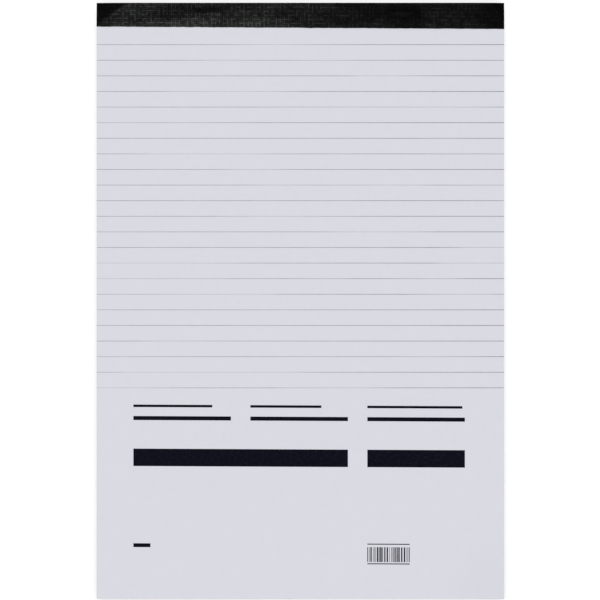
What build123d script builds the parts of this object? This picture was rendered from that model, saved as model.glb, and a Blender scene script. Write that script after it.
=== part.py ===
from build123d import *
import os

# A top-bound ruled writing pad, lying on its back board with its head towards +Y.
# Ruled sheets lie between a printed cover sheet and a grey back board. Two wire stitches
# hold the stack at its head, and a cloth tape glued over them runs from the cover, round
# the head, to the board. The origin is under the middle of the pad. Sizes are millimetres.

# Stack of paper and board, trimmed together to one format
pad_width = 210.0
tear_off_length = 297.0
stub_length = 10.0
sheet_count = 100
sheet_thickness = 0.088
cover_thickness = 0.13
board_thickness = 0.9

# Cloth tape, folded round the head
tape_thickness = 0.22
front_flap = 12.7
back_flap = 12.7

# Length over which the stack bends down from the tape's back flap to the table
settle_length = 60.0

# Wire stitches, driven from the cover and clinched on the board
wire_diameter = 0.5
inner_bend_radius = 0.05
stitch_length = 12.5
clinch_length = 5.0
stitch_spacing = 100.0
stitch_shift = 1.7
stitch_from_head = 5.4
stitch_clearance = 0.05

# Flat tape left between the fold at the head and the tents that it forms over the stitches
drape_margin = 1.65

# Heights of the layers, at the foot and at the head
sheets_thickness = sheet_count * sheet_thickness
cover_height = board_thickness + sheets_thickness
stack_height = cover_height + cover_thickness
head_lift = tape_thickness
stack_top = head_lift + stack_height
flap_top = stack_top + tape_thickness

# Places along the pad
sheet_length = tear_off_length + stub_length
foot_y = -(sheet_length + tape_thickness) / 2
head_y = foot_y + sheet_length
front_edge_y = head_y - front_flap
back_edge_y = head_y - back_flap
settled_y = back_edge_y - settle_length
stitch_y = head_y - stitch_from_head
drape_run = stitch_from_head - wire_diameter / 2 - drape_margin

# Places across the pad. The pair of stitches lies a little to the right of its middle line.
stitch_places = [Pos(stitch_shift + side * stitch_spacing / 2, stitch_y) for side in (-1, 1)]
leg_x = stitch_length / 2
clinch_x = leg_x - clinch_length

# What the stitches need room for is cut upwards from the table
from_table = (Align.CENTER, Align.CENTER, Align.MIN)


def rest_line(height):
    """Side view of a face of the stack: flat on the table, then bent up over the tape's back flap."""
    settled = (settled_y, height)
    lifted = (back_edge_y, height + head_lift)
    middle = ((settled_y + back_edge_y) / 2, height + head_lift / 2)
    return Curve() + [
        Line((foot_y, height), settled),
        TangentArc(settled, middle, tangent=(1, 0)),
        TangentArc(lifted, middle, tangent=(-1, 0)),
        Line(lifted, (head_y, height + head_lift)),
    ]


def layer(height, thickness):
    """One layer of the stack: its side view, carried across the pad."""
    upper = height + thickness
    foot = Line((foot_y, height), (foot_y, upper))
    head = Line((head_y, height + head_lift), (head_y, upper + head_lift))
    side_view = make_face(rest_line(height) + rest_line(upper) + foot + head)
    return extrude(Plane.YZ * side_view, pad_width / 2, both=True)


def leg_holes():
    """Holes that the four legs of the stitches pierce through the whole stack."""
    radius = wire_diameter / 2 + inner_bend_radius + stitch_clearance
    hole = Cylinder(radius, flap_top, align=from_table)
    return [place * Pos(end * leg_x) * hole for place in stitch_places for end in (-1, 1)]


def clinch_grooves():
    """Grooves that the clinched ends, cut off square, press into the back of the board to lie flush."""
    groove_width = wire_diameter + 2 * stitch_clearance
    groove_length = clinch_length + stitch_clearance
    groove = Box(groove_length, groove_width, head_lift + groove_width, align=from_table)
    middle_x = leg_x - groove_length / 2
    return [place * Pos(end * middle_x) * groove for place in stitch_places for end in (-1, 1)]


def stitch():
    """One stitch of round wire: over the cover, down through the stack, and in along the board."""
    over_z = stack_top + wire_diameter / 2
    under_z = head_lift + stitch_clearance + wire_diameter / 2
    path = FilletPolyline(
        (-clinch_x, 0, under_z),
        (-leg_x, 0, under_z),
        (-leg_x, 0, over_z),
        (leg_x, 0, over_z),
        (leg_x, 0, under_z),
        (clinch_x, 0, under_z),
        radius=wire_diameter / 2 + inner_bend_radius,
    )
    return sweep((path ^ 0) * Circle(wire_diameter / 2), path)


def folded_tape():
    """The tape's section, folded tight round the square head of the stack, carried across the pad."""
    outer_y = head_y + tape_thickness
    outline = Polyline(
        (back_edge_y, 0),
        (outer_y, 0),
        (outer_y, flap_top),
        (front_edge_y, flap_top),
        (front_edge_y, stack_top),
        (head_y, stack_top),
        (head_y, head_lift),
        (back_edge_y, head_lift),
        close=True,
    )
    section = make_face(outline)
    folds = section.vertices().sort_by(Axis.X)[-2:]
    section = fillet(folds, tape_thickness)
    return extrude(Plane.YZ * section, pad_width / 2, both=True)


def drapes(height):
    """Low tents that the tape forms over the stitches, standing on a face at this height."""
    length = stitch_length + wire_diameter
    ridge = SlotOverall(length, wire_diameter)
    foot = SlotOverall(length + 2 * drape_run, wire_diameter + 2 * drape_run)
    rise = wire_diameter + stitch_clearance
    tent = loft([Pos(0, 0, height) * foot, Pos(0, 0, height + rise) * ridge], ruled=True)
    return [place * tent for place in stitch_places]


parts = {
    "back_board": layer(0, board_thickness) - leg_holes() - clinch_grooves(),
    "ruled_sheets": layer(board_thickness, sheets_thickness) - leg_holes(),
    "cover_sheet": layer(cover_height, cover_thickness) - leg_holes(),
    "wire_stitches": Compound([place * stitch() for place in stitch_places]),
    "binding_tape": folded_tape() + drapes(flap_top) - drapes(stack_top),
}

os.makedirs("parts", exist_ok=True)
for name, shape in parts.items():
    export_step(shape, os.path.join("parts", f"{name}.step"))
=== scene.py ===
import bpy
import numpy as np
from math import pi, radians
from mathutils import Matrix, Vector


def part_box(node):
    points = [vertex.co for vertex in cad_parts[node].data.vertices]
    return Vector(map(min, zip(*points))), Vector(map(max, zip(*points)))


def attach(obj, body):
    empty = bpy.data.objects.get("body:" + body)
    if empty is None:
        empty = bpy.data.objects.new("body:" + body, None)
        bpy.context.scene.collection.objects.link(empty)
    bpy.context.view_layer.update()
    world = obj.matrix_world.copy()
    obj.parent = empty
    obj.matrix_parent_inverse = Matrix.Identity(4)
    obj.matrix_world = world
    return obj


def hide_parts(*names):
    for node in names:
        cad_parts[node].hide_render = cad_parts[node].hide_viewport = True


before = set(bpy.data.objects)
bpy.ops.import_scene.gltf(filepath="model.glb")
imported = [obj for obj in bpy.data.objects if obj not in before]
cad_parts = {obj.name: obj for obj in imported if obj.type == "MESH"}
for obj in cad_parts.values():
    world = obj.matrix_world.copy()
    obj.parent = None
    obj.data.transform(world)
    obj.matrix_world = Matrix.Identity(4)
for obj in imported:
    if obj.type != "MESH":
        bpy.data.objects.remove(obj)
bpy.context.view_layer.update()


# Back board: the stiff sheet that the pad lies on. It is greyboard, pressed from waste paper,
# so clouds of pulp, pale fibres and dark flecks show in it. It is cut to the format of the
# sheets, and the stitches hold it at the head.

class Tone:
    """A value of a finish: a node's output socket. Operators on tones and numbers add Math nodes."""

    def __init__(self, finish, socket):
        self.finish = finish
        self.socket = socket

    def __add__(self, other):
        return self.finish.math("ADD", self, other)

    def __sub__(self, other):
        return self.finish.math("SUBTRACT", self, other)

    def __rsub__(self, other):
        return self.finish.math("SUBTRACT", other, self)

    def __mul__(self, other):
        return self.finish.math("MULTIPLY", self, other)

    def __truediv__(self, other):
        return self.finish.math("DIVIDE", self, other)

    def __lt__(self, other):
        return self.finish.math("LESS_THAN", self, other)

    def __gt__(self, other):
        return self.finish.math("GREATER_THAN", self, other)

    __radd__ = __add__
    __rmul__ = __mul__


class Finish:
    """The look of a surface or of the room: a node tree, with what is alike all over set on its shader."""

    def __init__(self, holder, shader="Principled BSDF", **constants):
        holder.use_nodes = True
        self.holder = holder
        self.tree = holder.node_tree
        self.shader = self.tree.nodes[shader]
        for socket, value in constants.items():
            self.feed(socket.replace("_", " "), value)

    def node(self, kind, settings, sockets, output=0):
        """Adds a node: its settings first, then each socket's number, colour or tone. Gives one output."""
        made = self.tree.nodes.new("ShaderNode" + kind)
        for setting, value in settings.items():
            setattr(made, setting, value)
        for socket, value in sockets.items():
            self.plug(made.inputs[socket], value)
        return Tone(self, made.outputs[output])

    def plug(self, socket, value):
        if isinstance(value, Tone):
            self.tree.links.new(value.socket, socket)
        else:
            socket.default_value = value

    def feed(self, socket, value):
        self.plug(self.shader.inputs[socket], value)

    def math(self, operation, *values):
        return self.node("Math", {"operation": operation}, dict(enumerate(values)))

    def place(self):
        return self.node("TexCoord", {}, {}, "Object")

    def axis(self, vector, name):
        return self.node("SeparateXYZ", {}, {"Vector": vector}, name)

    def stretch(self, vector, x, y, z):
        return self.node("VectorMath", {"operation": "MULTIPLY"}, {0: vector, 1: (x, y, z)})

    def noise(self, vector, scale=1.0, detail=2.0):
        return self.node("TexNoise", {}, {"Vector": vector, "Scale": scale, "Detail": detail})

    def ramp(self, tone, low, high, start=0.0, end=1.0):
        """A smooth step from start to end, as the tone goes from low to high."""
        limits = {"Value": tone, "From Min": low, "From Max": high, "To Min": start, "To Max": end}
        return self.node("MapRange", {"interpolation_type": "SMOOTHSTEP"}, limits)

    def mix(self, share, first, second):
        """A colour between two, by the share of the second. A Mix node's colours are sockets 6 and 7."""
        return self.node("Mix", {"data_type": "RGBA"}, {0: share, 6: first, 7: second}, 2)

    def bump(self, height, depth):
        self.feed("Normal", self.node("Bump", {}, {"Height": height, "Distance": depth}))


pulp_light = (0.345, 0.310, 0.260, 1)
pulp_dark = (0.285, 0.255, 0.212, 1)
fibre_pale = (0.50, 0.46, 0.39, 1)
fibre_dark = (0.15, 0.132, 0.108, 1)
fleck_dark = (0.07, 0.062, 0.052, 1)
clouds_per_metre = 110.0
flecks_per_metre = 700.0
pale_hairs_per_metre = 240.0
dark_hairs_per_metre = 310.0
cloud_low, cloud_high = 0.30, 0.70
fleck_rim, fleck_core = 0.70, 0.75
hair_breaks = 1.7
hair_gap, hair_whole = 0.52, 0.62
hair_core, hair_rim = 0.006, 0.018
pale_hair_strength = 0.55
dark_hair_strength = 0.5
fleck_strength = 0.8
hair_relief_share = 0.3
pulp_relief = 0.00006

greyboard = Finish(bpy.data.materials.new("greyboard"), Roughness=0.88, Specular_IOR_Level=0.25)
place = greyboard.place()


def hairs(per_metre):
    """Short curled hairs: thin contour lines of a slow noise, broken up by a quicker one."""
    off_line = greyboard.math("ABSOLUTE", greyboard.noise(place, per_metre, 1.0) - 0.5)
    kept = greyboard.ramp(greyboard.noise(place, hair_breaks * per_metre, 0.0), hair_gap, hair_whole)
    return greyboard.ramp(off_line, hair_core, hair_rim, 1, 0) * kept


cloud = greyboard.noise(place, clouds_per_metre, 9.0)
fleck = greyboard.noise(place, flecks_per_metre, 1.0)
pale_hairs = hairs(pale_hairs_per_metre)
dark_hairs = hairs(dark_hairs_per_metre)
pulp = greyboard.mix(greyboard.ramp(cloud, cloud_low, cloud_high), pulp_dark, pulp_light)
pulp = greyboard.mix(pale_hairs * pale_hair_strength, pulp, fibre_pale)
pulp = greyboard.mix(dark_hairs * dark_hair_strength, pulp, fibre_dark)
flecked = greyboard.ramp(fleck, fleck_rim, fleck_core, 0.0, fleck_strength)
pulp = greyboard.mix(flecked, pulp, fleck_dark)
greyboard.feed("Base Color", pulp)
greyboard.bump(cloud + pale_hairs * hair_relief_share, pulp_relief)
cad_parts["back_board"].material_slots[0].material = greyboard.holder


# Ruled sheets: a hundred sheets of thin writing paper, knocked up square and trimmed in one
# cut. They are held at the head alone, so lower down each has slipped a hair against the next.
# The ruling runs off both sides, and its ends show as faint ticks on the cut edges.

sheets_low, sheets_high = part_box("ruled_sheets")
tape_low, tape_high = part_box("binding_tape")
left_x, right_x = sheets_low.x, sheets_high.x
foot_y, head_y = sheets_low.y, sheets_high.y
tape_thickness = tape_high.y - head_y
head_lift = tape_thickness
flap_edge_y = tape_low.y
settle_length = 0.060
settled_y = flap_edge_y - settle_length

sheet_count = 100
sheet_pitch = (sheets_high.z - head_lift - sheets_low.z) / sheet_count
sheet_fill_share = 0.92
slip_sideways = 0.00007
slip_down = 0.00004
loose_corner_width = 0.028
loose_corner_length = 0.036
loose_corner_lift = 0.0009
loose_corner_power = 9
crease_left = (0.0175, 0.0118)
crease_right = (0.0070, 0.0090)
crease_depth = 0.0005
crease_power = 1.4
rule_first = 0.0216
rule_pitch = 0.00804
rule_width = 0.00025
crisp_angle = radians(40)
sheets_seed = 11


def grid_lines(*stretches):
    """Grid lines along one side of a piece: each stretch runs evenly from its start to its end."""
    runs = [np.linspace(start, end, steps + 1) for start, end, steps in stretches]
    return np.unique(np.concatenate(runs))


def lift_over_flap(y):
    """Rise of the stack at y: none on the table, then a parabola up and one levelling out over the flap."""
    share = np.clip((y - settled_y) / settle_length, 0, 1)
    return head_lift * np.where(share < 0.5, 2 * share**2, 1 - 2 * (1 - share) ** 2)


def corner_lift(x, y):
    """Lift of the loose corner: the squared share by which a point lies past a slanting line towards it."""
    past = 1 - (right_x - x) / loose_corner_width - (y - foot_y) / loose_corner_length
    return loose_corner_lift * np.clip(past, 0, None) ** 2


def past_crease(x, y):
    """How far a point lies past the slanting crease of a head corner: nought on it, one at the corner."""
    from_head = np.clip(head_y - y, 0, None)
    past_left = 1 - (x - left_x) / crease_left[0] - from_head / crease_left[1]
    past_right = 1 - (right_x - x) / crease_right[0] - from_head / crease_right[1]
    return np.maximum(past_left, past_right)


def corner_press(x, y):
    """How far the head's corners are pressed in: a power of how far a point lies past the crease."""
    return np.clip(past_crease(x, y), 0, 1) ** crease_power


def closed_sheets(name, upper, lower):
    """Piece of one or more thin sheets: each is an upper and a lower grid of points, joined by a rim.
    Both arrays are sheet by row by column. Columns run along X, and rows away from the near edge."""
    count, rows, columns = upper.shape[:3]
    size = rows * columns
    number = np.arange(size).reshape(rows, columns)
    corners = [number[:-1, :-1], number[:-1, 1:], number[1:, 1:], number[1:, :-1]]
    above = np.stack(corners, -1).reshape(-1, 4)
    below = above[:, ::-1] + size
    loop = np.concatenate([number[0, :-1], number[:-1, -1], number[-1, :0:-1], number[:0:-1, 0]])
    onward = np.roll(loop, -1)
    rim = np.stack([loop, loop + size, onward + size, onward], -1)
    faces = np.concatenate([above, below, rim]) + np.arange(count)[:, None, None] * 2 * size
    mesh = bpy.data.meshes.new(name)
    mesh.from_pydata(np.stack([upper, lower], 1).reshape(-1, 3), [], faces.reshape(-1, 4))
    mesh.shade_smooth()
    mesh.set_sharp_from_angle(angle=crisp_angle)
    piece = bpy.data.objects.new(name, mesh)
    bpy.context.collection.objects.link(piece)
    return piece


rng = np.random.default_rng(sheets_seed)
x_lines = grid_lines(
    (left_x, left_x + crease_left[0], 4),
    (left_x + crease_left[0], right_x - loose_corner_width, 2),
    (right_x - loose_corner_width, right_x - crease_right[0], 4),
    (right_x - crease_right[0], right_x, 3),
)
y_lines = grid_lines(
    (foot_y, foot_y + loose_corner_length, 6),
    (foot_y + loose_corner_length, settled_y, 1),
    (settled_y, flap_edge_y, 6),
    (flap_edge_y, head_y, 4),
)
y, x = np.meshgrid(y_lines, x_lines, indexing="ij")
order = np.arange(sheet_count)[:, None, None]
height_share = (order + 1) / sheet_count
below_head = (head_y - y) / (head_y - foot_y)
across = x + rng.normal(0.0, slip_sideways, order.shape) * below_head
down = y - rng.normal(0.0, slip_down, order.shape) * below_head
under = sheets_low.z + order * sheet_pitch + lift_over_flap(y)
under = under + corner_lift(x, y) * height_share**loose_corner_power
under = under - crease_depth * corner_press(x, y) * height_share
over = under + sheet_fill_share * sheet_pitch
upper = np.stack([across, down, over], -1)
lower = np.stack([across, down, under], -1)
sheets = closed_sheets("writing_sheets", upper, lower)

drift_sheets = 9
drift_spread = 0.16
sheet_spread = 0.14
drift = rng.normal(0.0, 1.0, sheet_count + drift_sheets - 1)
drift = np.convolve(drift, np.ones(drift_sheets) / np.sqrt(drift_sheets), "valid")
sheet_shade = 0.5 + drift_spread * drift + sheet_spread * rng.normal(0.0, 1.0, sheet_count)
sheet_shade = np.clip(sheet_shade, 0, 1)
shade = sheets.data.attributes.new("shade", "FLOAT", "POINT")
shade.data.foreach_set("value", np.repeat(sheet_shade, 2 * x.size))

paper_bright = (0.80, 0.80, 0.83, 1)
paper_dull = (0.62, 0.615, 0.635, 1)
rule_grey = (0.20, 0.20, 0.225, 1)
tick_strength = 0.22
cut_marks_per_metre = (260.0, 260.0, 9000.0)
cut_share = 0.3
cut_relief = 0.00003
edge_low, edge_high = 0.15, 0.85

writing_paper = Finish(bpy.data.materials.new("writing_paper"), Roughness=0.92, Specular_IOR_Level=0.2)
place = writing_paper.place()
own_shade = writing_paper.node("Attribute", {"attribute_name": "shade"}, {}, "Fac")
cut = writing_paper.noise(writing_paper.stretch(place, *cut_marks_per_metre), detail=3.0)
rules_down = (tape_high.y - rule_first - writing_paper.axis(place, "Y")) / rule_pitch
off_rule = writing_paper.math("PINGPONG", rules_down, 0.5)
on_rule = (off_rule < rule_width / rule_pitch / 2) * (rules_down > -0.5)
edge_tone = own_shade * (1 - cut_share) + cut * cut_share
edge_tone = writing_paper.ramp(edge_tone, edge_low, edge_high)
leaf = writing_paper.mix(edge_tone, paper_dull, paper_bright)
writing_paper.feed("Base Color", writing_paper.mix(on_rule * tick_strength, leaf, rule_grey))
writing_paper.bump(cut, cut_relief)
sheets.data.materials.append(writing_paper.holder)
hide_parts("ruled_sheets")
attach(sheets, "root")


# Cover sheet: one leaf of heavier white paper over the ruled sheets, held under the tape. It is
# printed with the same grey ruling, and below it with plain black bars on three columns and a
# small block of stripes. It lies a little slack, so it cockles and its free corner lifts.

cover_low, cover_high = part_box("cover_sheet")
cover_thickness = cover_high.z - cover_low.z - head_lift
cockle_height = 0.00010
cockle_across = 0.115
cockle_down = 0.082
cockle_phase = 1.1
cockle_slant = 0.4
cockle_fade = 0.045
grid_step = 0.006
crease_lines = 8
merge_digits = 7

page_head_y = tape_high.y
rule_count = 23
print_margin = 0.0189
column_count = 3
column_width = 0.0503
column_gutter = 0.0100
bar_top, bar_height = 0.2134, 0.0021
caption_top, caption_height = 0.2075, 0.0013
caption_widths = (0.0407, 0.0366, 0.0490)
title_top, title_height = 0.2302, 0.0090
mark_top, mark_height, mark_width = 0.2790, 0.0020, 0.0088
stripes_top, stripes_height, stripes_width = 0.2804, 0.0077, 0.0218
stripe_count = 25
widest_stripe = 3
stripes_seed = 31
label_height = 0.0005
label_gap = 0.0013
print_slope = 0.0050
slope_start, slope_full, slope_end = 0.200, 0.206, 0.300


def cockle(x, y):
    """Slack in the sheet: two crossed slow waves, squared so that it only lifts, fading out at the tape."""
    along_x = np.sin(2 * pi * x / cockle_across + cockle_phase)
    along_y = np.sin(2 * pi * (y + cockle_slant * x) / cockle_down)
    fade = np.clip((flap_edge_y - y) / cockle_fade, 0, 1)
    return cockle_height * ((along_x + along_y) / 2) ** 2 * fade**2 * (3 - 2 * fade)


def print_skew(x, y):
    """Slant of the print down the page at x: straight below the ruling, none on it or at the foot."""
    page = page_head_y - y
    share = np.interp(page, (slope_start, slope_full, slope_end, page_head_y - foot_y), (0, 1, 1, 0))
    return -print_slope * x * share


columns_x = left_x + print_margin + np.arange(column_count) * (column_width + column_gutter)
title_widths = (2 * column_width + column_gutter, column_width)
stripe_widths = np.random.default_rng(stripes_seed).integers(1, widest_stripe + 1, 2 * stripe_count - 1)
stripe_edges = np.cumsum(stripe_widths)
stripe_edges = columns_x[2] + np.append(0, stripe_edges) / stripe_edges[-1] * stripes_width
label_tops = (stripes_top - label_gap - label_height, stripes_top + stripes_height + label_gap / 2)

bars = [(x0, column_width, bar_top, bar_height) for x0 in columns_x]
bars += [(x0, width, caption_top, caption_height) for x0, width in zip(columns_x, caption_widths)]
bars += [(x0, width, title_top, title_height) for x0, width in zip(columns_x[::2], title_widths)]
bars += [(columns_x[0], mark_width, mark_top, mark_height)]
bars += [(columns_x[2], stripes_width, top, label_height) for top in label_tops]
stripe_ends = zip(stripe_edges[::2], stripe_edges[1::2])
bars += [(x0, x1 - x0, stripes_top, stripes_height) for x0, x1 in stripe_ends]
bar_x0, bar_width, bar_from_head, bar_depth = np.array(bars).T
bar_x1 = bar_x0 + bar_width
bar_y1 = page_head_y - bar_from_head
bar_y0 = bar_y1 - bar_depth
rule_y = page_head_y - rule_first - np.arange(rule_count) * rule_pitch

x_steps = round((right_x - left_x) / grid_step)
y_steps = round((head_y - foot_y) / grid_step)
x_lines = np.unique(np.concatenate([
    np.linspace(left_x, right_x, x_steps + 1),
    bar_x0,
    bar_x1,
    left_x + np.linspace(0, crease_left[0], crease_lines),
    right_x - np.linspace(0, crease_right[0], crease_lines),
]).round(merge_digits))
y_lines = np.unique(np.concatenate([
    np.linspace(foot_y, head_y, y_steps + 1),
    bar_y0,
    bar_y1,
    rule_y - rule_width / 2,
    rule_y + rule_width / 2,
]).round(merge_digits))
y, x = np.meshgrid(y_lines, x_lines, indexing="ij")
z = cover_low.z + lift_over_flap(y) + corner_lift(x, y) - crease_depth * corner_press(x, y) + cockle(x, y)
askew = y + print_skew(x, y)
lower = np.stack([x, askew, z], -1)
upper = np.stack([x, askew, z + cover_thickness], -1)
cover = closed_sheets("cover_leaf", upper[None], lower[None])

cell_x = ((x_lines[1:] + x_lines[:-1]) / 2)[None, :, None]
cell_y = ((y_lines[1:] + y_lines[:-1]) / 2)[:, None, None]
in_bar = (cell_x > bar_x0) & (cell_x < bar_x1) & (cell_y > bar_y0) & (cell_y < bar_y1)
in_rule = (np.abs(cell_y - rule_y) < rule_width / 2) & (cell_x < right_x)
ink = np.where(in_bar.any(-1), 2, np.where(in_rule.any(-1), 1, 0)).ravel()
slots = np.zeros(len(cover.data.polygons), np.int32)
slots[: ink.size] = ink
cover.data.polygons.foreach_set("material_index", slots)

rules_low, rules_high = 0.02, 0.11
bars_middle, bars_per_metre = 0.14, 3.4
under_low, under_high = 0.165, 0.175
page_low, page_high = 0.19, 0.99


def ink_lanes():
    """Height on the baking map of the four corners of each face, if it is printed. Each rule fills a lane
    of its own, and the bars lie over each other in one more, all to one scale."""
    corner_y = np.stack([y_lines[:-1], y_lines[:-1], y_lines[1:], y_lines[1:]], -1)[:, None]
    lane = (rules_high - rules_low) / rule_count
    rule = np.abs(cell_y - rule_y).argmin(-1)[..., None]
    in_lane = rules_low + lane * (rule + 0.5 + (corner_y - rule_y[rule]) / rule_width)
    middle_y = ((bar_y0 + bar_y1) / 2)[in_bar.argmax(-1)][..., None]
    on_bar = bars_middle + bars_per_metre * (corner_y - middle_y)
    return np.where(in_bar.any(-1)[..., None], on_bar, in_lane).reshape(-1, 4)


def baking_map():
    """Places of the cover's corners on the map for baking its colours. The page lies flat there. Below it
    lie a narrow copy of the underside, and the print, apart, so that ink and paper keep a sharp edge."""
    across_share = (x - left_x) / (right_x - left_x)
    up_share = (y - foot_y) / (head_y - foot_y)
    page = np.stack([across_share, page_low + (page_high - page_low) * up_share], -1)
    under = np.stack([1 - across_share, under_low + (under_high - under_low) * up_share], -1)
    page, under = page.reshape(-1, 2), under.reshape(-1, 2)
    corner_point = np.zeros(len(cover.data.loops), np.int32)
    cover.data.loops.foreach_get("vertex_index", corner_point)
    places = np.concatenate([page, under])[corner_point].reshape(-1, 4, 2)
    rim = slice(2 * ink.size, None)
    places[rim] = page[corner_point % x.size].reshape(-1, 4, 2)[rim]
    printed = np.flatnonzero(ink)
    places[printed, :, 1] = ink_lanes()[printed]
    return places


# A map of this name is the one that the colours are baked through
cover.data.uv_layers.new(name="OFBake").data.foreach_set("uv", baking_map().ravel())

cover_white = (0.710, 0.710, 0.770, 1)
cover_cloudy = (0.685, 0.685, 0.746, 1)
smudge_grey = (0.56, 0.56, 0.61, 1)
smudge_place = (0.0869, -0.1449, 0)
smudge_radius = 0.0007
smudge_strength = 0.5
# The paper's colour greys towards the loose corner at the foot
corner_grey = (0.655, 0.655, 0.712, 1)
corner_grey_place = (right_x, foot_y, 0)
corner_grey_near, corner_grey_far = 0.012, 0.036
corner_grey_strength = 0.37
formation_per_metre = 240.0
grain_per_metre = 3200.0
grain_relief = 0.00002
rule_faint = (0.37, 0.37, 0.405, 1)
rule_full = (0.03, 0.03, 0.04, 1)
rule_thin_x, rule_thick_x = -0.03, 0.13
rule_thin, rule_thick = 0.22, 0.8
rule_patches_per_metre = (160.0, 900.0, 0)
rule_patchiness = 0.7
starved_per_metre = (9.0, 900.0, 0)
starved_low, starved_high = 0.40, 0.52
starved_level = 0.45
ink_black = (0.0028, 0.0031, 0.0075, 1)
ink_thin = (0.0060, 0.0064, 0.0115, 1)
laydown_per_metre = 700.0
laydown_low, laydown_high = 0.4, 0.7

cover_paper = Finish(bpy.data.materials.new("cover_paper"), Roughness=0.9, Specular_IOR_Level=0.15)
place = cover_paper.place()
on_page = cover_paper.stretch(place, 1, 1, 0)


def away_from(point):
    """Distance of a place on the page from a point of it."""
    return cover_paper.node("VectorMath", {"operation": "DISTANCE"}, {0: on_page, 1: point}, "Value")


formation = cover_paper.noise(place, formation_per_metre, 4.0)
corner_greying = cover_paper.ramp(away_from(corner_grey_place), corner_grey_near, corner_grey_far, corner_grey_strength, 0)
smudged = cover_paper.ramp(away_from(smudge_place), 0, smudge_radius, smudge_strength, 0)
leaf = cover_paper.mix(formation, cover_cloudy, cover_white)
leaf = cover_paper.mix(corner_greying, leaf, corner_grey)
leaf = cover_paper.mix(smudged, leaf, smudge_grey)
cover_paper.feed("Base Color", leaf)
cover_paper.bump(cover_paper.noise(place, grain_per_metre), grain_relief)

rule_ink = Finish(bpy.data.materials.new("rule_ink"), Roughness=0.85, Specular_IOR_Level=0.15)
place = rule_ink.place()
patchy = rule_ink.noise(rule_ink.stretch(place, *rule_patches_per_metre), detail=3.0)
weight = rule_ink.ramp(rule_ink.axis(place, "X"), rule_thin_x, rule_thick_x, rule_thin, rule_thick)
density = weight + (patchy - 0.5) * rule_patchiness
starved = rule_ink.noise(rule_ink.stretch(place, *starved_per_metre))
inking = rule_ink.ramp(starved, starved_low, starved_high, starved_level, 1)
line = rule_ink.mix(density, rule_faint, rule_full)
rule_ink.feed("Base Color", rule_ink.mix(inking, cover_white, line))

black_ink = Finish(bpy.data.materials.new("black_ink"), Roughness=0.6, Specular_IOR_Level=0.02)
place = black_ink.place()
laydown = black_ink.noise(place, laydown_per_metre, 3.0)
laydown = black_ink.ramp(laydown, laydown_low, laydown_high)
black_ink.feed("Base Color", black_ink.mix(laydown, ink_black, ink_thin))
black_ink.bump(black_ink.noise(place, grain_per_metre), grain_relief)

for finish in (cover_paper, rule_ink, black_ink):
    cover.data.materials.append(finish.holder)
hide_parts("cover_sheet")
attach(cover, "root")


# Wire stitches: two lengths of galvanised round wire, cut and bent by the stitching head. They
# are driven through the stack from the cover, and clinched flush into the back of the board.

zinc_bright = (0.62, 0.62, 0.63, 1)
zinc_dull = (0.40, 0.40, 0.41, 1)
drawn_marks_per_metre = (900.0, 9000.0, 900.0)
drawn_low, drawn_high = 0.3, 0.7
wire_smooth, wire_rough = 0.30, 0.50

stitch_wire = Finish(bpy.data.materials.new("stitch_wire"), Metallic=1.0)
drawn = stitch_wire.stretch(stitch_wire.place(), *drawn_marks_per_metre)
drawn = stitch_wire.noise(drawn, detail=3.0)
stitch_wire.feed("Base Color", stitch_wire.mix(drawn, zinc_dull, zinc_bright))
stitch_wire.feed("Roughness", stitch_wire.ramp(drawn, drawn_low, drawn_high, wire_smooth, wire_rough))
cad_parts["wire_stitches"].material_slots[0].material = stitch_wire.holder


# Binding tape: a strip of black book cloth with a linen grain, glued to the cover, folded tight
# round the head and glued to the board. It was laid a touch askew and trimmed with the stack. It
# is drawn down over the two stitches, which stand out as ridges. Its threads are painted lighter
# most at the left, partly for rubbing and partly as painted sheen, with painted highlights and
# shade over the ridges, creases, front edge and ends.

stitches_low, stitches_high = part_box("wire_stitches")
stack_top = cover_high.z
fold_inner = 0.00012
fold_outer = fold_inner + tape_thickness
front_flap = head_y - flap_edge_y
front_slant = 0.0060
front_ragged = 0.00005
ragged_step = 0.0016
ragged_seed = 23
stitch_length = 0.0130
stitch_y = (stitches_low.y + stitches_high.y) / 2
stitch_x = (stitches_low.x + stitch_length / 2, stitches_high.x - stitch_length / 2)
wire_radius = (stitches_high.y - stitches_low.y) / 2
ridge_height = tape_high.z - stack_top - tape_thickness
ridge_run = 0.0045
ridge_run_front = 0.0065
ridge_power = 1.4
tape_overlap = 0.00003


def ridge_share(x, y):
    """Nearness to a stitch: one over the wire, and nought past the run of the cloth drawn down beside it.
    The run is longer towards the front edge."""
    aside = np.abs(np.abs(x - np.mean(stitch_x)) - np.ptp(stitch_x) / 2)
    beyond = np.clip(aside - stitch_length / 2, 0, None) / ridge_run
    over = np.clip(y - stitch_y - wire_radius, 0, None) / ridge_run
    under = np.clip(stitch_y - wire_radius - y, 0, None) / ridge_run_front
    return 1 - np.clip(np.hypot(beyond, over + under), 0, 1)


def ridges(x, y):
    """Height of the tape over the stitches: a power of the nearness, a little hollow as drawn cloth is."""
    return ridge_height * ridge_share(x, y) ** ridge_power


def front_edge(x):
    """Place of the tape's cut front edge at x: a slanting line, with the small raggedness of cut cloth."""
    knots = np.arange(left_x - ragged_step, right_x + 2 * ragged_step, ragged_step)
    strays = np.random.default_rng(ragged_seed).normal(0.0, front_ragged, knots.size)
    return head_y - front_flap - front_slant * x + np.interp(x, knots, strays)


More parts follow.
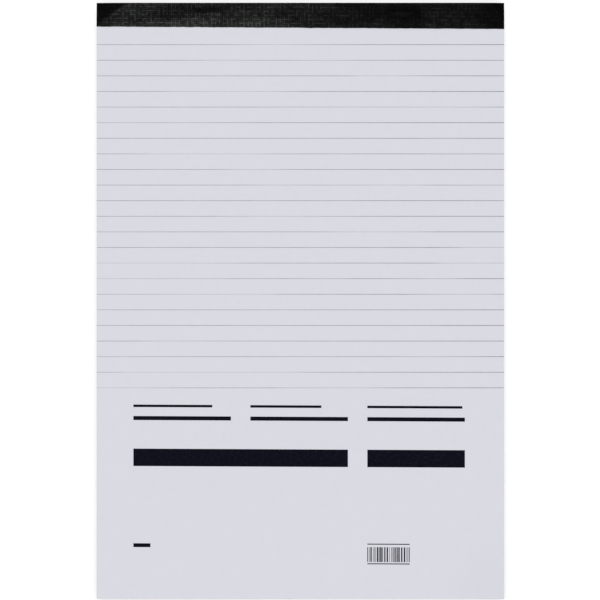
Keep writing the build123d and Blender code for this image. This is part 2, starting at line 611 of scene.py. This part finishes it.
near_stitch = stitch_length / 2 + ridge_run
x_lines = grid_lines(
    (left_x - tape_overlap, left_x + crease_left[0], 16),
    (left_x + crease_left[0], stitch_x[0] - near_stitch, 20),
    (stitch_x[0] - near_stitch, stitch_x[0] + near_stitch, 64),
    (stitch_x[0] + near_stitch, stitch_x[1] - near_stitch, 44),
    (stitch_x[1] - near_stitch, stitch_x[1] + near_stitch, 64),
    (stitch_x[1] + near_stitch, right_x - crease_right[0], 20),
    (right_x - crease_right[0], right_x + tape_overlap, 12),
)
flap_rows, fold_rows, head_rows, back_rows = 46, 6, 8, 10
quarter = np.linspace(0, pi / 2, fold_rows + 1)[1:]
angle = np.concatenate([
    np.full(flap_rows, pi / 2),
    pi / 2 - quarter,
    np.zeros(head_rows),
    -quarter,
    np.full(back_rows, -pi / 2),
])[:, None]
head_share = np.concatenate([
    np.zeros(flap_rows + fold_rows),
    np.linspace(0, 1, head_rows + 1)[1:],
    np.ones(fold_rows + back_rows),
])[:, None]
core_z = stack_top - fold_inner + head_share * (head_lift - stack_top + 2 * fold_inner)
front_share = np.append(np.linspace(1, 0, flap_rows), np.zeros(angle.size - flap_rows))[:, None]
back_share = np.append(np.zeros(angle.size - back_rows), np.linspace(0, 1, back_rows + 1)[1:])[:, None]
fold_y = head_y - fold_inner
core_y = fold_y + front_share * (front_edge(x_lines) - fold_y) + back_share * (flap_edge_y - fold_y)


def tape_face(radius):
    """One face of the tape: its folded path at this distance from the path's core, carried across the pad.
    The front is lifted by the ridges, and the pressed corners are lowered in step with their height."""
    y = core_y + radius * np.cos(angle)
    z = core_z + radius * np.sin(angle) + ridges(x_lines, y) * (front_share > 0)
    z = z - crease_depth * corner_press(x_lines, y) * z / stack_top
    return np.stack([np.broadcast_to(x_lines, y.shape), y, z], -1)


outer = tape_face(fold_outer)
inner = tape_face(fold_inner)
tape = closed_sheets("cloth_tape", outer[None], inner[None])

steps = np.linalg.norm(np.diff(outer, axis=0), axis=-1)
strip_run = np.concatenate([np.zeros((1, x_lines.size)), np.cumsum(steps, 0)])
weave_place = np.tile(np.stack([outer[..., 0], strip_run], -1).reshape(-1, 2), (2, 1))
corner_point = np.zeros(len(tape.data.loops), np.int32)
tape.data.loops.foreach_get("vertex_index", corner_point)
tape.data.uv_layers.new(name="weave").data.foreach_set("uv", weave_place[corner_point].ravel())

# How light the tape's threads are painted along it: partly wear, partly painted sheen
sheen_and_wear_place_shares = (0.0, 0.45, 0.65, 0.79, 0.82, 0.93, 1.0)
sheen_and_wear_levels = (1.0, 0.82, 0.28, 0.15, 0.42, 0.20, 0.18)
# Painted shade at the tape's ends and in its pressed head corners
end_shade, end_reach = 0.25, 0.016
pressed_shade, press_share = 0.2, 0.2
# Painted highlight along the creases of the pressed corners
crease_highlight_gain, crease_share = 0.8, 0.1
# Painted sheen along the front edge
front_sheen_gain, front_reach = 1.2, 0.0055
head_gain, head_reach = 0.3, 0.003
# Painted light and shade on the ridges' slopes: lighter facing the foot and the left, darker facing away
facing_light_gain, facing_limits = 5.5, (0.25, 1.1)
facing_step = (0.0007, 0.0011)
# Painted highlight, with some rubbing, along the crests over the stitches
crest_highlight_gain, crest_share = 0.6, 0.9


def sheen_and_wear_level(x, y):
    """How light the tape's threads are painted: partly for rubbing by hands and turned sheets, and partly
    as painted sheen and shade. Lightest from the left to the middle and darkest by the right stitch,
    with painted shade at the ends and in the pressed corners, painted highlights along the front edge
    and the creases, and lighter along the head. On the front, the crests over the stitches get a painted
    highlight with some rubbing, slopes that face the foot and the left are painted lighter, and slopes
    that face away from there darker."""
    level = np.interp((x - left_x) / (right_x - left_x), sheen_and_wear_place_shares, sheen_and_wear_levels)
    level = level * np.interp(np.minimum(x - left_x, right_x - x), (0, end_reach), (end_shade, 1))
    past = past_crease(x, y)
    level = level * np.interp(past, (0, press_share), (1, pressed_shade))
    level = level * np.interp(past, (-crease_share, 0, crease_share), (1, 1 + crease_highlight_gain, 1))
    level = level * np.interp(y - front_edge(x), (0, front_reach), (1 + front_sheen_gain, 1))
    level = level * np.interp(head_y - y, (0, head_reach), (1 + head_gain, 1))
    step_x, step_y = facing_step
    rise = ridges(x + step_x, y + step_y) - ridges(x - step_x, y - step_y)
    facing = rise / (2 * np.hypot(step_x, step_y))
    crest = np.clip((ridge_share(x, y) - crest_share) / (1 - crest_share), 0, 1)
    ridge_light_and_shade = np.clip(1 + facing_light_gain * facing, *facing_limits) * (1 + crest_highlight_gain * crest)
    return level * np.where(front_share > 0, ridge_light_and_shade, 1)


# Painted sheen, shade and highlights, with some wear, carried on the tape as one value
sheen_and_wear = tape.data.attributes.new("sheen_and_wear", "FLOAT", "POINT")
sheen_and_wear.data.foreach_set("value", np.tile(sheen_and_wear_level(outer[..., 0], outer[..., 1]).ravel(), 2))

thread_pitch = 0.00104
thread_scatter = 3.37
thread_relief = 0.00008
slub_threads = 3.0
slub_low, slub_high = 0.38, 0.66
slub_base = 0.4
wanders_per_metre = 60.0
wander_threads = 0.8
fine_thread_share = 0.35
under_share = 0.6
ground_share = 0.09
worn_patches_per_metre = (40.0, 110.0, 0)
patch_low, patch_high = 0.3, 0.7
patch_least, patch_most = 0.5, 1.5
cloth_roughness = 0.50
rubbed_smoothing = 0.10
cloth_black = (0.0004, 0.0005, 0.0004, 1)
cloth_sheen_and_wear = (0.060, 0.0635, 0.060, 1)

tape_cloth = Finish(bpy.data.materials.new("tape_cloth"), Specular_IOR_Level=0.012)


def thread_set(count, run, side):
    """Threads side by side, numbered by count, that go over and under along their run. Gives how high each
    stands, with a narrow crest and every second one finer, and its own slow change in thickness."""
    number = tape_cloth.math("FLOOR", count)
    half = tape_cloth.math("PINGPONG", count, 0.5) * 2
    over = 0.5 + tape_cloth.math("COSINE", (run - 0.5 + number) * pi) * 0.5 * side
    own_line = {"X": number * thread_scatter, "Y": run / slub_threads, "Z": side}
    slub = tape_cloth.noise(tape_cloth.node("CombineXYZ", {}, own_line), detail=1.0)
    thick = 1 - tape_cloth.math("PINGPONG", number, 1) * (1 - fine_thread_share)
    return half * half * (under_share + over * (1 - under_share)) * thick, slub


strip = tape_cloth.node("UVMap", {"uv_map": "weave"}, {})
wander = tape_cloth.noise(strip, wanders_per_metre) * wander_threads
warps = tape_cloth.axis(strip, "X") / thread_pitch + wander
wefts = tape_cloth.axis(strip, "Y") / thread_pitch + wander
warp_stand, warp_slub = thread_set(warps, wefts, 1.0)
weft_stand, weft_slub = thread_set(wefts, warps, -1.0)
warp_shine = warp_stand * tape_cloth.ramp(warp_slub, slub_low, slub_high)
weft_shine = weft_stand * tape_cloth.ramp(weft_slub, slub_low, slub_high)
threads = tape_cloth.math("MAXIMUM", warp_shine, weft_shine)
sheen_and_wear_factor = tape_cloth.node("Attribute", {"attribute_name": "sheen_and_wear"}, {}, "Fac")
patch = tape_cloth.noise(tape_cloth.stretch(strip, *worn_patches_per_metre))
patch = tape_cloth.ramp(patch, patch_low, patch_high, patch_least, patch_most)
shine = (ground_share + threads * (1 - ground_share)) * sheen_and_wear_factor * patch
# Thread crests are painted light as painted glints of sheen, with some wear, scaled by the tape's value
tape_cloth.feed("Base Color", tape_cloth.mix(shine, cloth_black, cloth_sheen_and_wear))
tape_cloth.feed("Roughness", cloth_roughness - shine * rubbed_smoothing)
warp_height = warp_stand * (warp_slub + slub_base)
weft_height = weft_stand * (weft_slub + slub_base)
tape_cloth.bump(tape_cloth.math("MAXIMUM", warp_height, weft_height), thread_relief)
tape.data.materials.append(tape_cloth.holder)
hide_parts("binding_tape")
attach(tape, "root")


# Table and light: a plain white table that keeps the pad's soft shadow, one broad lamp high over
# the head of the pad, and an even white room.

table_size = 3.0
table_drop = 0.00005
table_white = (0.80, 0.80, 0.80, 1)
table_glow = 0.25
room_level = 0.50
lamp_level = 1.594
lamp_spread = radians(40)
lamp_tilt = radians(-10)

table_mesh = bpy.data.meshes.new("table")
table_corners = np.array([(-1, -1, 0), (1, -1, 0), (1, 1, 0), (-1, 1, 0)]) * table_size / 2
table_mesh.from_pydata(table_corners - (0, 0, table_drop), [], [(0, 1, 2, 3)])
table = bpy.data.objects.new("table", table_mesh)
bpy.context.collection.objects.link(table)
table_top = Finish(
    bpy.data.materials.new("table_top"),
    Base_Color=table_white, Roughness=1.0, Specular_IOR_Level=0.0, Emission_Strength=1.0,
)


def seen_directly(finish):
    """One for a ray from the camera, straight or by a reflection or glass, and nought for any other."""
    kinds = ("Camera", "Glossy", "Transmission")
    rays = [finish.node("LightPath", {}, {}, f"Is {kind} Ray") for kind in kinds]
    return finish.node("Clamp", {}, {"Value": rays[0] + rays[1] + rays[2]})


glow = seen_directly(table_top) * table_glow
white_glow = table_top.node("CombineColor", {}, {"Red": glow, "Green": glow, "Blue": glow})
table_top.feed("Emission Color", white_glow)
table.data.materials.append(table_top.holder)

lamp = bpy.data.lights.new("lamp", "SUN")
lamp.energy = lamp_level
lamp.angle = lamp_spread
lamp_holder = bpy.data.objects.new("lamp", lamp)
lamp_holder.rotation_euler = (lamp_tilt, 0, 0)
bpy.context.collection.objects.link(lamp_holder)

room = Finish(bpy.data.worlds.new("room"), "Background", Color=(1, 1, 1, 1))
room.feed("Strength", room_level + seen_directly(room) * (1 - room_level))
bpy.context.scene.world = room.holder


# Camera: straight above the pad with the head at the top, framed so that the pad fills the
# height of a square picture.

picture_pixels = 600
pad_pixels = 407.5
pad_middle_pixels = (300.4, 300.8)
lens_length = 100.0
sensor_width = 36.0

pixel = (right_x - left_x) / pad_pixels
camera_data = bpy.data.cameras.new("camera")
camera_data.lens = lens_length
camera_data.sensor_width = sensor_width
camera = bpy.data.objects.new("camera", camera_data)
camera.location = (
    (picture_pixels / 2 - pad_middle_pixels[0]) * pixel,
    (pad_middle_pixels[1] - picture_pixels / 2) * pixel,
    cover_high.z + picture_pixels * pixel * lens_length / sensor_width,
)
bpy.context.collection.objects.link(camera)
bpy.context.scene.camera = camera
bpy.context.scene.view_settings.view_transform = "Standard"
